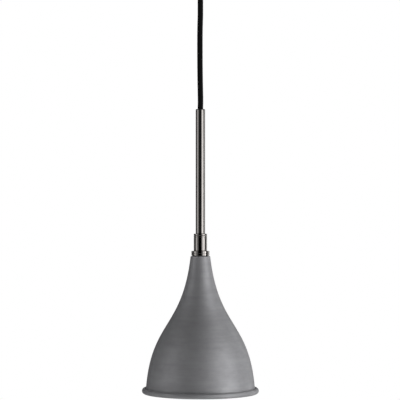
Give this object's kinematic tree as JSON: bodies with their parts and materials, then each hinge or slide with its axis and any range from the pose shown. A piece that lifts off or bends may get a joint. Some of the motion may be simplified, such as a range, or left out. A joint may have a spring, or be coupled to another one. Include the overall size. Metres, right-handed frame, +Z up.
{
  "type": "pendant ceiling light",
  "caption": "Pendant ceiling light: a trumpet-shaped spun metal shade with a rolled rim and a small screw-cap lamp, on a polished rod that hangs on a textile flex from a round canopy.",
  "frame": {"origin": "middle of the ceiling plate's upper face, which lies on the ceiling", "axes": "+Z up into the ceiling, so the light hangs down along -Z; +X to the right as seen from the front; +Y towards the back"},
  "size_m": [0.15, 0.15, 0.5747],
  "materials": {
    "grey_powder": "matte mid-grey powder coat, faintly mottled, on spun steel",
    "black_nickel": "polished black nickel plate, warm dark grey, mirror-like",
    "textile": "black braided textile cover, matte",
    "zinc": "bright zinc-plated steel, satin",
    "brass": "bare turned brass",
    "nickel": "nickel-plated thin brass sheet, satin",
    "black_plastic": "moulded black thermoset, fine texture",
    "white_plastic": "moulded off-white polyamide",
    "rubber": "matte black rubber",
    "brown_sleeve": "brown PVC insulation",
    "blue_sleeve": "blue PVC insulation",
    "earth_sleeve": "green and yellow PVC insulation",
    "opal_glass": "opal white glass, satin",
    "clear_glass": "clear glass",
    "tungsten": "drawn tungsten and nickel wire"
  },
  "bodies": {
    "ceiling": {"ceiling_plate": "zinc", "earth_screw": "brass", "clamp_bracket": "zinc", "clamp_saddle": "zinc", "clamp_screw_left": "zinc", "clamp_screw_right": "zinc", "terminal_block": "white_plastic", "terminal_screw_1": "zinc", "terminal_screw_2": "zinc", "terminal_screw_3": "zinc", "terminal_screw_4": "zinc", "terminal_screw_5": "zinc", "terminal_screw_6": "zinc", "flex_in_canopy": "textile", "wire_line": "brown_sleeve", "wire_neutral": "blue_sleeve", "wire_earth": "earth_sleeve", "flex_top": "textile"},
    "canopy": {"canopy_cup": "black_nickel", "grip_body": "black_nickel", "grip_nut": "zinc", "grip_screw": "black_plastic"},
    "flex": {"flex_free": "textile"},
    "pendant": {"mouth_bush": "black_plastic", "rod": "black_nickel", "flex_in_rod": "textile", "lock_ring": "black_nickel", "collar": "black_nickel", "collar_grub_screw": "zinc", "flange": "black_nickel", "gallery_washer": "black_nickel", "rubber_washer": "rubber", "nipple": "brass", "shade": "grey_powder", "star_washer": "zinc", "nipple_nut": "zinc", "holder_cap": "black_plastic", "cap_screw": "zinc", "earth_tag": "brass", "cap_nut": "zinc", "holder_core": "white_plastic", "holder_skirt": "black_plastic", "terminal_post_line": "brass", "terminal_post_neutral": "brass", "post_screw_line": "zinc", "post_screw_neutral": "zinc", "holder_wire_line": "brown_sleeve", "holder_wire_neutral": "blue_sleeve", "holder_wire_earth": "earth_sleeve", "centre_contact": "brass", "side_contact": "brass", "screw_shell": "nickel"},
    "lamp_tip": {"lamp_contact": "nickel"},
    "lamp": {"lamp_insulator": "black_plastic", "lamp_shell": "nickel", "bulb_glass": "opal_glass", "bulb_stem": "clear_glass", "filament": "tungsten"}
  },
  "joints": [
    {"name": "canopy_drop", "type": "slide", "parent": "ceiling", "child": "canopy", "axis": [0, 0, -1], "range_m": [0, 0.03]},
    {"name": "cord_swing", "type": "hinge", "parent": "ceiling", "child": "flex", "pos_m": [0, 0, -0.0845], "axis": [0, 1, 0], "range_deg": [-30, 30]},
    {"name": "rod_tilt", "type": "hinge", "parent": "flex", "child": "pendant", "pos_m": [0, 0, -0.2115], "axis": [1, 0, 0], "range_deg": [-20, 20]},
    {"name": "lamp_travel", "type": "slide", "parent": "pendant", "child": "lamp_tip", "axis": [0, 0, -1], "range_m": [0, 0.012]},
    {"name": "lamp_turn", "type": "hinge", "parent": "lamp_tip", "child": "lamp", "pos_m": [0, 0, -0.47], "axis": [0, 0, -1], "range_deg": [0, 1530]}
  ],
  "couplings": [
    {"joint": "lamp_travel", "follows": "lamp_turn", "m_per_rad": 0.00044913}
  ]
}
